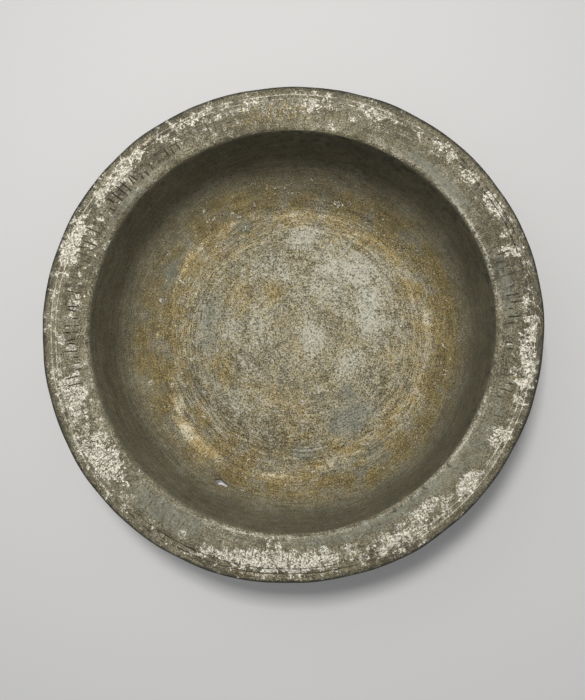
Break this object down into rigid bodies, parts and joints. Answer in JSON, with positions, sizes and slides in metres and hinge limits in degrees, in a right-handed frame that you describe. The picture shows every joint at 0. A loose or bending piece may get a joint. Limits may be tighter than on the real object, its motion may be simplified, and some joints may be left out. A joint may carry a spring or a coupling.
{
  "type": "deep rimmed dish",
  "caption": "Deep round metal dish with a broad flat rim, steep wall, rounded knuckle and flat floor; holds bread, water or offerings on a table.",
  "frame": {"origin": "middle of the floor's underside, on the surface that the dish stands on", "axes": "+Z is the dish's axis, pointing up out of the bowl; X and Y are across it, with the worn hole towards -X -Y"},
  "size_m": [0.3, 0.3, 0.0603],
  "materials": {
    "tinned_brass": "olive-grey patina with worn, speckled tin on the rim and floor and brassy rings where it has rubbed through"
  },
  "bodies": {
    "root": {"dish": "tinned_brass"}
  },
  "joints": []
}
